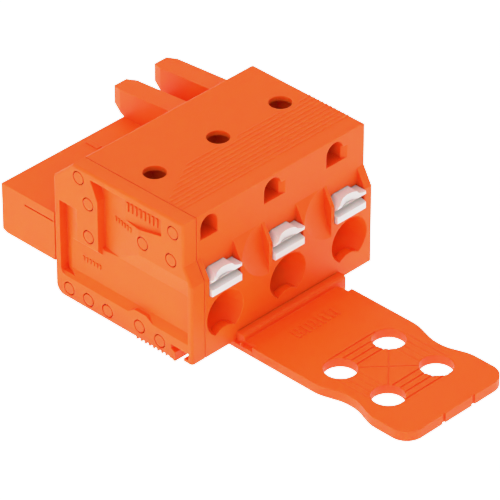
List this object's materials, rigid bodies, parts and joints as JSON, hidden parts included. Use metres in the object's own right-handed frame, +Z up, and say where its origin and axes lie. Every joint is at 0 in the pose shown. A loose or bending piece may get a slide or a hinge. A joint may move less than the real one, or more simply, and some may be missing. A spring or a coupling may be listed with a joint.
{
  "type": "pluggable wire connector",
  "caption": "Orange pluggable wire connector with white push-buttons above round wire entries, rear latch fingers and a slide-on strain relief plate.",
  "frame": {"origin": "centre of the bounding box in X and Y, on the resting plane", "axes": "+X runs across the poles away from the end plate, +Y points to the mating side, +Z is up; wires enter from -Y"},
  "size_m": [0.022, 0.0448, 0.0145],
  "materials": {
    "orange_housing": "moulded polyamide, satin",
    "orange_end_plate": "moulded polyamide, satin",
    "orange_relief": "moulded polyamide, satin",
    "white_button": "moulded, satin white",
    "spring_steel": "rolled spring strip",
    "tinned_copper": "tin plated"
  },
  "bodies": {
    "connector": {"housing": "orange_housing", "end_plate": "orange_end_plate", "strain_relief_plate": "orange_relief", "clamp_spring_1": "spring_steel", "contact_bar_1": "tinned_copper", "contact_overspring_1": "spring_steel", "clamp_spring_2": "spring_steel", "contact_bar_2": "tinned_copper", "contact_overspring_2": "spring_steel", "clamp_spring_3": "spring_steel", "contact_bar_3": "tinned_copper", "contact_overspring_3": "spring_steel"},
    "button_1": {"push_button_1": "white_button"},
    "button_2": {"push_button_2": "white_button"},
    "button_3": {"push_button_3": "white_button"}
  },
  "joints": [
    {"name": "button_1_press", "type": "slide", "parent": "connector", "child": "button_1", "axis": [0, 1, 0], "range_m": [0, 0.0012], "stiffness_N_per_m": 3000, "springref_m": -0.0008, "deforming": ["clamp_spring_1"]},
    {"name": "button_2_press", "type": "slide", "parent": "connector", "child": "button_2", "axis": [0, 1, 0], "range_m": [0, 0.0012], "stiffness_N_per_m": 3000, "springref_m": -0.0008, "deforming": ["clamp_spring_2"]},
    {"name": "button_3_press", "type": "slide", "parent": "connector", "child": "button_3", "axis": [0, 1, 0], "range_m": [0, 0.0012], "stiffness_N_per_m": 3000, "springref_m": -0.0008, "deforming": ["clamp_spring_3"]}
  ]
}
